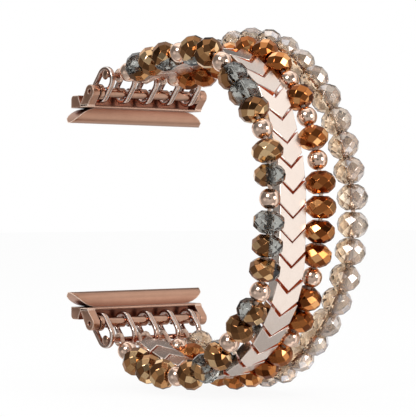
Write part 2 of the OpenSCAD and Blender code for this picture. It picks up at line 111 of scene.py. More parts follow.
def put_together(name, finish, shells, sharp=35, bevel=0.0, segments=2):
    """One smooth-shaded mesh object in a finish from closed shells. Edges that turn by more than an angle in
    degrees stay sharp, and a bevel of a width in millimetres rounds them off."""
    points, faces, first = [], [], 0
    for shell_points, shell_faces in shells:
        faces += [[first + v for v in face] for face in outward(shell_points, shell_faces)]
        points.append(shell_points)
        first += len(shell_points)
    mesh = bpy.data.meshes.new(name)
    mesh.from_pydata(in_frame(np.concatenate(points)), [], faces)
    mesh.materials.append(finish.material)
    mesh.polygons.foreach_set("use_smooth", np.ones(len(faces), bool))
    mesh.set_sharp_from_angle(angle=math.radians(sharp))
    piece = bpy.data.objects.new(name, mesh)
    bpy.context.scene.collection.objects.link(piece)
    if bevel:
        edge = piece.modifiers.new("worn_edges", "BEVEL")
        edge.width, edge.segments, edge.angle_limit = bevel * mm, segments, math.radians(sharp)
        edge.limit_method = "ANGLE"
    return piece


class Term:
    """A number on its way through a shader: sums, products and powers of terms add their Math nodes."""

    def __init__(self, finish, socket):
        self.finish, self.socket = finish, socket

    def math(self, operation, first, second=0.0):
        return self.finish.node("ShaderNodeMath", {"operation": operation}, {0: first, 1: second})

    def __add__(self, other):
        return self.math("ADD", self, other)

    def __sub__(self, other):
        return self.math("SUBTRACT", self, other)

    def __rsub__(self, other):
        return self.math("SUBTRACT", other, self)

    def __mul__(self, other):
        return self.math("MULTIPLY", self, other)

    def __pow__(self, other):
        return self.math("POWER", self, other)

    def __abs__(self):
        return self.math("ABSOLUTE", self)

    __radd__, __rmul__ = __add__, __mul__


class Shading:
    """The nodes of one material or of the surroundings."""

    def __init__(self, owner):
        owner.use_nodes = True
        self.nodes, self.links = owner.node_tree.nodes, owner.node_tree.links

    def node(self, kind, settings=None, inputs=None, out=0):
        """Adds a node: its settings first, a ramp's stops among them, then the values or links of
        its sockets. What comes back is the term of one of its outputs."""
        made = self.nodes.new(kind)
        for key, value in (settings or {}).items():
            if key == "stops":
                while len(made.color_ramp.elements) < len(value):
                    made.color_ramp.elements.new(1.0)
                for stop, (place, colour) in zip(made.color_ramp.elements, value):
                    stop.position, stop.color = place, (*colour, 1.0)
            else:
                setattr(made, key, value)
        for key, value in (inputs or {}).items():
            self.feed(made.inputs[key], value)
        return Term(self, made.outputs[out])

    def feed(self, socket, value):
        """Links a term to a socket, or sets the socket to a value."""
        if isinstance(value, Term):
            self.links.new(value.socket, socket)
        else:
            socket.default_value = value

    def ray(self, kind):
        """1 for a ray of a kind, such as Camera or Glossy, 0 for any other."""
        return self.node("ShaderNodeLightPath", out=f"Is {kind} Ray")


class Finish(Shading):
    """A material. Each property of its shader is one value all over, or a term that varies."""

    def __init__(self, name, **properties):
        self.material = bpy.data.materials.new(name)
        super().__init__(self.material)
        self.shader = self.nodes["Principled BSDF"]
        self.base = Term(self, self.shader.outputs[0])
        self.give(**properties)

    def give(self, **properties):
        """Sets properties of the shader to values, or links terms to them."""
        for title, value in properties.items():
            self.feed(self.shader.inputs[title.replace("_", " ")], value)

    def mix(self, share, first, second):
        """One shader where a share is 0, another where it is 1."""
        return self.node("ShaderNodeMixShader", {}, {0: share, 1: first, 2: second})

    def show(self, surface):
        """Makes a mix of shaders the material's surface."""
        self.feed(self.nodes["Material Output"].inputs[0], surface)

    def place(self, scale=(1, 1, 1)):
        """Object coordinates in millimetres, stretched by a scale along each axis."""
        where = self.node("ShaderNodeTexCoord", out="Object")
        return self.node("ShaderNodeMapping", {}, {"Vector": where, "Scale": tuple(s / mm for s in scale)})

    def noise(self, size, detail=3.0, scale=(1, 1, 1)):
        """Cloudy noise from 0 to 1 with patches of a size in millimetres."""
        return self.node("ShaderNodeTexNoise", {}, {
            "Vector": self.place(scale), "Scale": 1.0 / size, "Detail": detail, "Roughness": 0.5})

    def blend(self, share, first, second):
        """A colour between two colours or colour terms."""
        return self.node("ShaderNodeMix", {"data_type": "RGBA"}, {0: share, 6: first, 7: second}, out=2)

    def ramp(self, term, *stops):
        """The colour at a term's place between stops, each a place from 0 to 1 and a colour."""
        return self.node("ShaderNodeValToRGB", {"stops": stops}, {0: term})

    def clamp(self, term):
        """A term held between 0 and 1."""
        return self.node("ShaderNodeClamp", {}, {0: term})

    def crevice(self, reach, samples=8):
        """0 deep in a crevice, 1 where nothing else stands within a reach in millimetres."""
        return self.node("ShaderNodeAmbientOcclusion", {"samples": samples},
                         {"Distance": reach * mm}, out="AO")

    def edges(self, reach, samples=6, least=0.995, full=0.955):
        """0 on open faces, 1 on edges: there a normal rounded off over a reach in millimetres turns
        away from the face's own, and the cosine between them falls from least to full."""
        rounded_off = self.node("ShaderNodeBevel", {"samples": samples}, {"Radius": reach * mm})
        own_normal = self.node("ShaderNodeNewGeometry", out="Normal")
        cosine = self.node("ShaderNodeVectorMath", {"operation": "DOT_PRODUCT"},
                           {0: rounded_off, 1: own_normal}, out="Value")
        return self.node("ShaderNodeMapRange", {}, {"Value": cosine, "From Min": least, "From Max": full})

    def bumped(self, height, depth, strength):
        """Surface relief of a depth in millimetres from a height of 0 to 1."""
        self.give(Normal=self.node("ShaderNodeBump", {}, {
            "Height": height, "Distance": depth * mm, "Strength": strength}))


satin = Finish("satin_rose_gold_plating")
brushed = satin.noise(0.12, 4.0, (0.06, 1, 1))
cloud = satin.noise(3.0, 2.0)
open_gold = satin.blend(cloud * 0.6 + brushed * 0.4, (0.46, 0.25, 0.165, 1), (0.64, 0.37, 0.26, 1))
# Painted highlight: on the casting's edges the colour turns pale and the metal less metallic, so that they
# show bright. Painted shade: deep in its crevices the colour turns dark red-brown.
painted_edge_light = satin.edges(0.28)
edge_lit_gold = satin.blend(painted_edge_light, open_gold, (1.0, 0.80, 0.66, 1))
satin.give(Base_Color=satin.blend(satin.crevice(3.5) ** 2.0, (0.19, 0.045, 0.02, 1), edge_lit_gold),
           Roughness=0.24 + brushed * 0.16, Metallic=1.0 - painted_edge_light * 0.7)
satin.bumped(brushed, 0.004, 0.6)


def quarter(count):
    """Angles from 0 to a right angle."""
    return np.linspace(0, math.pi / 2, count)


def unit(vectors):
    """Vectors divided by their lengths."""
    return vectors / np.linalg.norm(vectors, axis=-1, keepdims=True)


def run_along(points):
    """The length of a line of points up to each of them."""
    return np.concatenate([[0], np.cumsum(np.linalg.norm(np.diff(points, axis=0), axis=1))])


def cuts_at(x, rows):
    """A grid of cuts: each row of (y, z) points at its own x."""
    return np.concatenate([np.broadcast_to(x[:, None, None], rows.shape[:2] + (1,)), rows], -1)


def rail_shell(long=36.2, thick=4.2, depth=3.1, corner=7.0, least=0.02):
    """Cuts across the rail from end to end. Each runs down one flank, round the root and up the
    other; beyond the straight part the top follows the corner's arc, z = centre + sqrt(r^2 - x^2),
    until a cut has only the least height."""
    straight, root, bottom = long / 2 - corner, thick / 2, slot_mouth - depth
    tip = straight + math.sqrt(corner ** 2 - (corner - depth + least) ** 2)
    curved = (tip - straight) * np.sin(quarter(14))
    x = np.concatenate([curved - tip, np.linspace(-straight, straight, 5)[1:-1], tip - curved[::-1]])
    top = slot_mouth - corner + np.sqrt(corner ** 2 - np.maximum(np.abs(x) - straight, 0) ** 2)
    z = bottom + (top[:, None] - bottom) * (1 - np.cos(quarter(13)))
    y = np.where(z < bottom + root, np.sqrt(np.maximum(root ** 2 - (bottom + root - z) ** 2, 0)), root)
    side = np.stack([np.broadcast_to(x[:, None], z.shape), y, z], -1)
    return skin(np.concatenate([side[:, ::-1], side[:, 1:] * [1, -1, 1]], 1))


def bar_shell(section, half, edge=0.12):
    """A closed section of (y, z) points carried along X, drawn in towards its middle at both ends
    along a quarter circle, which rounds the end's edge."""
    turn = quarter(5)[::-1]
    from_end, inset = edge * (1 - np.sin(turn)), edge * (1 - np.cos(turn))
    x = np.concatenate([from_end - half, half - from_end[::-1]])
    inset = np.concatenate([inset, inset[::-1]])[:, None, None]
    return skin(cuts_at(x, section - unit(section - section.mean(0)) * inset))


def eyed_plate(outline, eye, radius, half, middle_x, edge=0.16):
    """A plate with a round eye: each cut runs from the eye's wall over one face to the outline and
    back over the other; both edges are rounded with a quarter circle."""
    away = unit(outline - eye)
    rim, fall = edge * (1 - np.sin(quarter(5))), edge * (1 - np.cos(quarter(5)))
    drawn_in = away * np.concatenate([rim, rim[::-1]])[:, None, None]
    lift = np.concatenate([half - fall, fall[::-1] - half])
    rows = np.concatenate([outline - drawn_in, (eye + radius * away + drawn_in)[::-1]])
    return skin(cuts_at(middle_x + np.concatenate([lift, lift[::-1]]), rows), along_closed=True)


def ear_outline(count=72, radius=1.4, foot_front=-1.05, foot_back=-3.65, foot_low=0.2, foot_high=0.5):
    """A half circle about the spring bar, then straight flanks down to the foot on the flange and
    along it, with points at even steps of their length."""
    root = np.array([(foot_front + foot_back) / 2, slot_mouth])
    up = unit(spring_bar - root)
    flank = np.array([up[1], -up[0]])
    w = np.linspace(0, math.pi, count // 2)[:, None]
    arc = spring_bar + radius * (np.cos(w) * flank + np.sin(w) * up)
    low, high = slot_mouth + foot_low, slot_mouth + foot_high
    corners = np.array([arc[-1], [foot_back, high], [foot_back, low], [foot_front, low],
                        [foot_front, high], arc[0]])
    run = run_along(corners)
    at = np.linspace(0, run[-1], count // 2 + 2)[1:-1]
    return np.concatenate([arc, np.stack([np.interp(at, run, column) for column in corners.T], 1)])


def casting_section(lip=0.25, high=2.5, edge=0.8, hollow=3.825, front=2.1, past_bar=0.7):
    """Outline of flange and wall: half circle at the lip, flat underside, front face, quarter circle at
    the wall's top edge, and the hollow, an arc about the spring bar, back down to the flange."""
    bar_y, bar_z = spring_bar
    back, flange_top, wall_top = bar_y + past_bar, slot_mouth + 2 * lip, slot_mouth + high
    bow, turn = np.linspace(math.pi / 2, 3 * math.pi / 2, 11), quarter(9)
    sweep = np.linspace(math.asin((wall_top - bar_z) / hollow), math.asin((flange_top - bar_z) / hollow), 15)
    arc = np.stack([bar_y + hollow * np.cos(sweep), bar_z + hollow * np.sin(sweep)], 1)
    return np.concatenate([
        np.stack([back + lip * np.cos(bow), slot_mouth + lip + lip * np.sin(bow)], 1),
        np.stack([np.linspace(back, front, 9)[1:], np.full(8, slot_mouth)], 1),
        np.stack([front - edge + edge * np.cos(turn), wall_top - edge + edge * np.sin(turn)], 1),
        arc,
        np.stack([np.linspace(arc[-1, 0], back, 5)[1:-1], np.full(3, flange_top)], 1)])


ear = ear_outline()
for end, body, up in ends:
    shells = [rail_shell(), bar_shell(casting_section(), casting_half)]
    shells += [eyed_plate(ear, spring_bar, ear_hole, ear_half, side * ear_place) for side in (-1, 1)]
    adapter = put_together(end + "_adapter_casting", satin, at_end(shells, up), sharp=40, bevel=0.08)
    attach(adapter, body + "_adapter")
    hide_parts(end + "_adapter")


# Spring bars: a turned steel tube between the ears, with a shouldered plunger in each end that
# a fine coil spring pushes out, so that its tip sits in the ear's hole.
tube_radius, tube_bore, tube_half = 0.75, 0.55, 12.9
plunger_inner, plunger_tip, plunger_radius, tip_radius, chamfer = 5.9, 14.4, 0.5, 0.4, 0.08
# A solid turned form ends this near the axis, so that its end face keeps its own corners.
on_axis = 0.0005


def turned(profile, sides=40):
    """A lathe form about the spring bar's axis: each (x, r) of the profile becomes a ring of radius r."""
    w = np.linspace(0, 2 * math.pi, sides, endpoint=False)
    x, r = np.array(profile, float).T[..., None]
    return np.stack([x + 0 * w, spring_bar[0] + r * np.cos(w), spring_bar[1] + r * np.sin(w)], -1)


def rounded(corners, radius, steps=4):
    """A closed profile with each corner p replaced by the curve (1-t)^2 a + 2t(1-t) p + t^2 b, from
    a point a on the side before it to a point b on the side after it, each a radius away."""
    p = np.array(corners, float)
    a, b = (p + unit(np.roll(p, way, 0) - p) * radius for way in (1, -1))
    t = np.linspace(0, 1, steps)[:, None, None]
    return ((1 - t) ** 2 * a + 2 * t * (1 - t) * p + t ** 2 * b).transpose(1, 0, 2).reshape(-1, 2)


def sleeve(first_x, last_x, radius, bore, edge, sides=48):
    """A turned sleeve about the bar from one x to another, every corner of its wall rounded."""
    wall = [(first_x, bore), (first_x, radius), (last_x, radius), (last_x, bore)]
    return skin(turned(rounded(wall, edge), sides), along_closed=True)


def tube_along(path, radius, sides=12):
    """Circles of a radius set square to the path, one at each of its points."""
    d = unit(np.gradient(path, axis=0))
    side = unit(np.array([1, 0, 0]) - d[:, :1] * d)
    w = np.linspace(0, 2 * math.pi, sides, endpoint=False)[None, :, None]
    return skin(path[:, None] + radius * (np.cos(w) * side[:, None] + np.sin(w) * np.cross(d, side)[:, None]))


def half_spring(sign, reach=5.76, coil=0.41, turns=4.5, wire=0.09, steps_a_turn=24):
    """Wire in a helix from the middle of the bar to one plunger: x grows evenly with the turn."""
    t = np.linspace(0, 1, int(steps_a_turn * turns) + 1)
    w = 2 * math.pi * turns * t
    y, z = spring_bar[0] + coil * np.cos(w), spring_bar[1] + sign * coil * np.sin(w)
    return tube_along(np.stack([sign * reach * t, y, z], 1), wire, 8)


bright_steel = Finish("turned_spring_steel", Metallic=1.0)
lathe_marks = bright_steel.noise(0.1, 2.0, (1, 0.02, 0.02))
steel_grey = bright_steel.ramp(lathe_marks, (0.3, (0.58, 0.57, 0.57)), (0.7, (0.80, 0.79, 0.78)))
bright_steel.give(Base_Color=steel_grey, Roughness=0.16 + lathe_marks * 0.2)
bright_steel.bumped(lathe_marks, 0.002, 0.5)

plunger_profile = [
    (plunger_inner, on_axis), (plunger_inner, plunger_radius - chamfer),
    (plunger_inner + chamfer, plunger_radius), (tube_half - chamfer, plunger_radius),
    (tube_half, plunger_radius - 0.06), (tube_half, tip_radius), (plunger_tip - 0.15, tip_radius),
    (plunger_tip - 0.04, tip_radius - 0.03), (plunger_tip, tip_radius - 0.1), (plunger_tip, on_axis)]
for end, body, up in ends:
    wall = sleeve(-tube_half, tube_half, tube_radius, tube_bore, chamfer, 40)
    tube = put_together(end + "_bar_tube", bright_steel, at_end([wall], up))
    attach(tube, body + "_ring_set")
    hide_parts(end + "_spring_bar_tube")
    for side, sign in (("left", -1), ("right", 1)):
        shells = [skin(turned(plunger_profile) * [sign, 1, 1])]
        plunger = put_together(f"{end}_plunger_{side}_turned", bright_steel, at_end(shells, up), sharp=50)
        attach(plunger, f"{body}_plunger_{side}")
        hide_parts(f"{end}_plunger_{side}")
        shells = [half_spring(sign)]
        half = put_together(f"{end}_spring_half_{side}", bright_steel, at_end(shells, up), sharp=80)
        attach(half, body + "_ring_set")
        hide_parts(end + "_bar_spring")
        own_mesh(half)


# Link rings: five long oval rings to a bar, stamped, rounded and mirror-polished rose gold, with a
# painted highlight along their rounded edges and painted shade in their crevices. Each rests with its
# lower flank on the spring bar and holds the strand rod in its outer end.
ring_lean = math.radians(40)
lean = np.array([-math.sin(ring_lean), math.cos(ring_lean)])
across = np.array([math.cos(ring_lean), math.sin(ring_lean)])
ring_wide, ring_band, ring_thick, half_flank, ring_play = 5.2, 0.85, 1.1, 1.35, 0.05
ring_inside = ring_wide / 2 - ring_band
ring_middle = spring_bar + [0, (ring_inside - tube_radius - ring_play) / math.sin(ring_lean)]
ring_pitch = 5.625
ring_places = [ring_pitch * k for k in range(-2, 3)]


def oval(offset, count=96):
    """Points of the ring's outline moved inwards by an offset: two half circles joined by straight flanks."""
    near, far = ring_middle - half_flank * lean, ring_middle + half_flank * lean
    w = np.linspace(0, math.pi, count // 2)[:, None]
    bow = (ring_wide / 2 - offset) * (np.cos(w) * across + np.sin(w) * lean)
    return np.concatenate([far + bow, near - bow])


def oval_ring(middle_x, power=3.2, brightest=0.55):
    """The ring's band: a rounded box section, |a|^p + |b|^p = 1, carried round the oval. With it, how
    much painted highlight each point gets: the lesser of |a| and |b|, squared, which is most on the rounded
    edges, as a share of the value at which the highlight is brightest."""
    w = np.linspace(0, 2 * math.pi, 28, endpoint=False)
    a, b = (np.sign(v) * np.abs(v) ** (2 / power) for v in (np.cos(w), np.sin(w)))
    rows = np.stack([oval(ring_band / 2 * (1 - v)) for v in a])
    bright = np.minimum(np.abs(a), np.abs(b)) ** 2 / brightest
    shell = skin(cuts_at(middle_x + ring_thick / 2 * b, rows), along_closed=True)
    return shell, np.repeat(bright, rows.shape[1])


def mark(piece, title, domain, values):
    """Keeps a number for each point or face of a piece, under a title by which its finish reads it."""
    kept = piece.data.attributes.new(title, "FLOAT", domain)
    kept.data.foreach_set("value", np.asarray(values, np.float32))


def own(finish, title):
    """The number kept under a title, where the finish is seen."""
    return finish.node("ShaderNodeAttribute", {"attribute_name": title}, out="Fac")


mirror_gold = Finish("mirror_polished_rose_gold")
haze = mirror_gold.noise(1.6, 3.0)
fine = mirror_gold.noise(0.08, 2.0)
face = mirror_gold.blend(haze, (0.34, 0.185, 0.12, 1), (0.58, 0.365, 0.265, 1))
# Painted highlight: the rings' rounded edges turn pale and a little less metallic. Painted shade: deep in
# crevices the colour turns dark red-brown.
polish = mirror_gold.clamp(own(mirror_gold, "polish"))
rim_highlighted = mirror_gold.blend(polish, face, (1.0, 0.91, 0.85, 1))
mirror_gold.give(
    Base_Color=mirror_gold.blend(mirror_gold.crevice(2.5) ** 1.2, (0.38, 0.10, 0.045, 1), rim_highlighted),
    Roughness=0.05 + haze * 0.05 + fine * 0.04, Metallic=1.0 - polish * 0.15)
mirror_gold.bumped(haze, 0.004, 0.5)

for end, body, up in ends:
    shells, bright = zip(*(oval_ring(x) for x in ring_places))
    rings = put_together(end + "_oval_rings", mirror_gold, at_end(shells, up), sharp=60)
    mark(rings, "polish", "POINT", np.concatenate(bright))
    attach(rings, body + "_ring_set")
    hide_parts(end + "_link_rings")


# Spacer sleeves and washers: turned and polished rose gold, threaded loose on the spring bar.
# Four thin sleeves keep the rings a strand's width apart, and a wider washer fills the space
# between the last ring and the ear at each side.
sleeve_radius, washer_radius, threaded_bore, side_play = 1.05, 1.6, 0.8, 0.1
strand_places = [ring_pitch * (k + 0.5) for k in range(-2, 2)]
sleeve_half = (ring_pitch - ring_thick - side_play) / 2
washer_near, washer_far = ring_places[-1] + ring_thick / 2 + side_play, tube_half

for end, body, up in ends:
    shells = [sleeve(x - sleeve_half, x + sleeve_half, sleeve_radius, threaded_bore, 0.1)
              for x in strand_places]
    sleeves = put_together(end + "_sleeves", mirror_gold, at_end(shells, up), sharp=50)
    shells = [sleeve(sign * washer_near, sign * washer_far, washer_radius, threaded_bore, 0.14)
              for sign in (-1, 1)]
    washers = put_together(end + "_ear_washers", mirror_gold, at_end(shells, up), sharp=50)
    for piece, node in ((sleeves, "_spacer_sleeves"), (washers, "_washers")):
        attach(piece, body + "_ring_set")
        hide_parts(end + node)


# Strand rods: a drawn rod through the outer ends of the rings, with a domed rivet head at each
# end. The elastic cords loop round it between the rings.
rod_radius, rod_half, head_radius, head_thick, crown = 0.55, 12.25, 1.0, 0.4, 0.3
strand_rod = ring_middle + (half_flank + ring_inside - rod_radius - ring_play) * lean
under_head = rod_half - head_thick
dome = [(rod_half - crown + crown * math.cos(a), on_axis + (head_radius - 0.02) * math.sin(a))
        for a in quarter(7)]
half_profile = dome + [
    (under_head + 0.08, head_radius), (under_head + 0.03, head_radius - 0.02),
    (under_head, head_radius - 0.1), (under_head, rod_radius + 0.05), (under_head - 0.05, rod_radius)]
rod_profile = half_profile + [(-x, r) for x, r in half_profile[::-1]]

for end, body, up in ends:
    shells = [skin(turned(rod_profile) + [0, *(strand_rod - spring_bar)])]
    rod = put_together(end + "_riveted_rod", mirror_gold, at_end(shells, up), sharp=50)
    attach(rod, body + "_ring_set")
    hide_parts(end + "_strand_rod")


# Elastic cords: round translucent stretch cord with a slight warm tint, one through each bead
# strand and two through the chevrons, looped round both strand rods. Each is drawn in lengths that
# meet inside the beads.
cord_thick, eye_play = 0.8, 0.1

# The kinds of pieces on the cords: b a gold ball, r a bronze or smoky bead, c a copper bead, p a
# pale crystal, v a chevron link. Each has a length, a gap to the next on a straight run, the reach
# of its flat ends from the cord, and a length of bare cord that it leaves before the lower rod.
lengths = {"b": 3.9, "r": 4.1, "c": 4.2, "p": 4.75, "v": 4.05}
gaps = {"b": 0.15, "r": 0.15, "c": 0.15, "p": 0.15, "v": 0.4}
reaches = {"b": 0.0, "r": 1.45, "c": 1.45, "p": 1.45, "v": 1.1}
bare = {"b": 1.6, "r": 3.2, "c": 3.2, "p": 1.9, "v": 2.3}
# What length is left is shared out, up to most_spare a piece. Past fan_start from a rod a strand moves
# sideways over fan_long, from the rings' place to its own. The band bends between seven segments.
most_spare, spare_used = 0.05, 0.98
fan_start, fan_long = 2.5, 6.0
segment_count = 7
segments = range(1, segment_count + 1)


class Strand:
    """The route of one strand from rod to rod and the places of the pieces on it."""

    def __init__(self, order, first, ring_x, side_x, middle, steps=8):
        """Catmull-Rom curve through given (y, z) points, some steps to a span, and its running
        length; the pieces stand along it in their order, from a first running length on."""
        whole = np.array([strand_rod, *middle, strand_rod * [1, -1]])
        p = np.concatenate([whole[:1], whole, whole[-1:]])
        a, b, c, d = (p[k:k + len(whole) - 1, None] for k in range(4))
        t = (np.arange(steps) / steps)[None, :, None]
        curve = 0.5 * (2 * b + (c - a) * t + (2 * a - 5 * b + 4 * c - d) * t ** 2
                       + (3 * b - a - 3 * c + d) * t ** 3)
        self.curve = np.concatenate([curve.reshape(-1, 2), whole[-1:]])
        self.run = run_along(self.curve)
        self.whole, self.ring_x, self.side_x, self.order = self.run[-1], ring_x, side_x, order
        tight = self.marks(first, 0, 0)
        n = len(tight) - 1
        spare = min(most_spare, (self.whole - bare[order[(n - 1) % len(order)]] - tight[-1]) / n)
        self.starts = self.marks(first, spare * spare_used, 1)[:n + 1]
        self.kinds = [order[i % len(order)] for i in range(n)]
        self.joints = self.at(np.array(self.starts))

    def at(self, s):
        """Points at running lengths s: (y, z) from the curve, x fanning out smoothly from the rings."""
        s = np.asarray(s, float)
        u = np.clip((np.minimum(s, self.whole - s) - fan_start) / fan_long, 0, 1)
        x = self.ring_x + (self.side_x - self.ring_x) * u * u * (3 - 2 * u)
        return np.stack([x, *(np.interp(s, self.run, column) for column in self.curve.T)], -1)

    def half_gap(self, kind, s):
        """Half the gap that a piece needs at s: its flat ends' inner edges come together on a bend."""
        a, b, c = self.at([s - lengths[kind], s, s + lengths[kind]])
        cosine = (b - a) @ (c - b) / max(1e-9, np.linalg.norm(b - a) * np.linalg.norm(c - b))
        return gaps[kind] / 2 + reaches[kind] * math.tan(math.acos(min(1, cosine)) / 2)

    def marks(self, s, spare, room):
        """Running lengths where the pieces meet: each adds its length, half a gap at either end and
        some spare, as long as the bare cord past it, with some room allowed, is enough."""
        found = [s]
        while True:
            kind = self.order[(len(found) - 1) % len(self.order)]
            near, far = found[-1], found[-1] + lengths[kind]
            s = far + self.half_gap(kind, near) + self.half_gap(kind, far) + spare
            if s > self.whole + room - bare[kind]:
                return found
            found.append(s)

    def segment(self, i):
        """The numbered length of the band that piece i belongs to."""
        share = (self.starts[i] + self.starts[i + 1]) / 2 / self.whole
        return min(segment_count, 1 + int(segment_count * share))

    def stand(self, i):
        """Axes and middle of piece i: x sideways, y outwards, z along the chord between its two joints."""
        p, q = self.joints[i], self.joints[i + 1]
        d = unit(q - p)
        side = unit(np.array([1, 0, 0]) - d[0] * d)
        kind = self.kinds[i]
        shift = (self.half_gap(kind, self.starts[i]) - self.half_gap(kind, self.starts[i + 1])) / 2
        return np.array([side, np.cross(d, side), d]), (p + q) / 2 + shift * d


strands = {
    "mixed": Strand("brrrbrrbrrrbrrbrrrbrrbrrrbrrrb", 1.6, strand_places[0], -9.7, [
        (-11, 27.3), (-19, 28.8), (-29, 30), (-37, 28.8), (-42.5, 24), (-48, 18.2), (-51.5, 12),
        (-52.5, 4), (-52, -4), (-51, -12), (-48, -18.7), (-41.5, -24.8), (-35, -30.2), (-28, -32.4),
        (-19, -32.2), (-11, -30)]),
    "chevron": Strand("v", 5.5, strand_places[1], -3.15, [
        (-12, 27.2), (-20, 28.4), (-28, 29.6), (-34, 29.3), (-38.7, 27), (-42.4, 24), (-45.6, 20.6),
        (-48.6, 13), (-50.4, 5), (-50.4, -5), (-49.8, -13), (-47.1, -19.8), (-41.5, -26.7), (-34, -31.2),
        (-25, -32.2), (-16, -30.6), (-10.5, -28.6)]),
    "copper": Strand("bcccccccbcbcbccccbccbcccccccb", 1.6, strand_places[2], 3.4, [
        (-12, 26.7), (-18.5, 26.8), (-25, 29), (-31, 30.8), (-36, 30), (-42, 25.5), (-47, 19.5), (-50.3, 12),
        (-52, 4), (-51.8, -4), (-50, -12), (-46.5, -20.5), (-41.5, -26.7), (-34, -31.6), (-25, -33),
        (-16, -30.8), (-10.5, -28.6)]),
    "crystal": Strand("p", 2.8, strand_places[3], 9.7, [
        (-11, 29.5), (-18, 32.4), (-25, 33.2), (-31, 32.2), (-37, 29.8), (-43.4, 24.6), (-48.8, 18.4),
        (-52, 10.5), (-54, 3), (-54, -5), (-52.2, -13), (-48, -20.5), (-42, -27), (-35, -31.6),
        (-27, -32.8), (-18, -30.8), (-11, -28.4)])}


def eye_path(x, start, centre, sign, turn=250, steps=24):
    """A cord's eye: a circle round the rod, from its free end to the point where it leaves for the strand."""
    radius = rod_radius + cord_thick / 2 + eye_play
    away = start - centre
    leave = math.atan2(away[1], away[0]) + sign * math.acos(radius / np.linalg.norm(away))
    w = leave + sign * np.radians(np.linspace(turn, 0, steps))
    return np.stack([np.full(steps, x), centre[0] + radius * np.cos(w), centre[1] + radius * np.sin(w)], 1)


def cord_paths(strand, offset, rod_offset, middles):
    """A cord's route in lengths, from eye to eye, parted inside the middle piece of each segment."""
    joints, x_end = strand.joints + [offset, 0, 0], strand.ring_x + rod_offset
    parts = [eye_path(x_end, joints[0, 1:], strand_rod, 1),
             *((joints[middles] + joints[middles + 1]) / 2)[:, None],
             eye_path(x_end, joints[-1, 1:], strand_rod * [1, -1], -1)[::-1]]
    stops = [0, *(middles + 1), len(joints)]
    return [np.concatenate([parts[h], joints[stops[h]:stops[h + 1]], parts[h + 1]])
            for h in range(segment_count + 1)]


clear_cord = Finish("clear_stretch_cord", Roughness=0.35, Transmission_Weight=0.55, IOR=1.36)
streaks = clear_cord.noise(0.15, 2.0)
clear_cord.give(Base_Color=clear_cord.ramp(streaks, (0.3, (0.66, 0.46, 0.35)), (0.8, (0.88, 0.72, 0.60))))

# The cords of each strand: how far beside the strand's middle each runs, and how far beside the
# middle of the rings' gap at the rods; then the names of their solids.
cords = (("mixed", ((0, 0),), ("mixed_cord",)),
         ("chevron", ((-1.7, -1.125), (1.7, 1.125)), ("chevron_cord_left", "chevron_cord_right")),
         ("copper", ((0, 0),), ("copper_cord",)),
         ("crystal", ((0, 0),), ("crystal_cord",)))
# A reach either side of the joint where two lengths of cord meet.
half_bend = 0.9
for name, offsets, nodes in cords:
    strand = strands[name]
    seats = [strand.segment(i) for i in range(len(strand.kinds))]
    first = np.searchsorted(seats, range(1, segment_count + 2))
    middles = (first[:-1] + first[1:]) // 2
    routes = [cord_paths(strand, *offset, middles) for offset in offsets]
    for h in range(segment_count + 1):
        shells = [tube_along(paths[h], cord_thick / 2) for paths in routes]
        cord = put_together(f"{name}_cord_length_{h + 1}", clear_cord, shells, sharp=60)
        if h == 0:
            a, b = np.array([strand.ring_x, *strand_rod]), strand.joints[0]
        elif h == segment_count:
            a, b = strand.joints[-1], np.array([strand.ring_x, *(strand_rod * [1, -1])])
        else:
            before, meet, after = strand.joints[first[h] - 1:first[h] + 2]
            a, b = (meet + way * half_bend * unit(after - before) for way in (-1, 1))
        a, b = in_frame(a), in_frame(b)
        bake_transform(cord)
        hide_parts(*nodes)


# Faceted beads: pressed glass rondelles with a bore, cut in rows of triangles and kites. Each row's
# height follows from its radius so that every kite lies flat.
bead_radius = 3.05


def rondelle(thick, count=8, widest=bead_radius, flat=1.45, bore=0.6, crown_share=0.55):
    """Rings of corners from one flat end to the other, every second ring turned by half a facet, and the
    polygons between them; the flat ends are closed round the bore by a ring of quads and its wall."""
    c = math.cos(math.pi / count)
    r_mid, r_top, z_end = widest * c, flat + crown_share * (widest - flat), thick / 2
    k = (widest - r_mid * c) / (widest - r_top)
    m = (r_top * c - flat) / (r_mid - flat)
    z_top = z_end * (1 - m) / (1 - m * k)
    z_mid = z_top * k
    rows = [(flat, z_end, 0), (r_top, z_top, .5), (r_mid, z_mid, 0), (widest, 0, .5), (r_mid, -z_mid, 0),
            (r_top, -z_top, .5), (flat, -z_end, 0), (bore, -z_end, 0), (bore, z_end, 0)]
    r, z, turn = (np.array(v, float)[:, None] for v in zip(*rows))
    w = 2 * math.pi * (np.arange(count)[None] + turn) / count
    points = np.stack([r * np.cos(w), r * np.sin(w), z + 0 * w], -1).reshape(-1, 3)
    i = np.arange(count)
    up, down, n = (i + 1) % count, (i - 1) % count, count
    rings = [[i, up, n + i], [i, n + i, 2 * n + i, n + down], [n + i, 2 * n + up, 3 * n + i, 2 * n + i],
             [2 * n + i, 3 * n + i, 4 * n + i, 3 * n + down], [4 * n + i, 3 * n + i, 4 * n + up, 5 * n + i],
             [5 * n + i, 6 * n + i, 5 * n + down, 4 * n + i], [6 * n + up, 6 * n + i, 5 * n + i],
             [6 * n + i, 6 * n + up, 7 * n + up, 7 * n + i], [7 * n + i, 7 * n + up, 8 * n + up, 8 * n + i],
             [8 * n + i, 8 * n + up, up, i]]
    return points, [row for ring in rings for row in np.stack(ring, 1).tolist()]


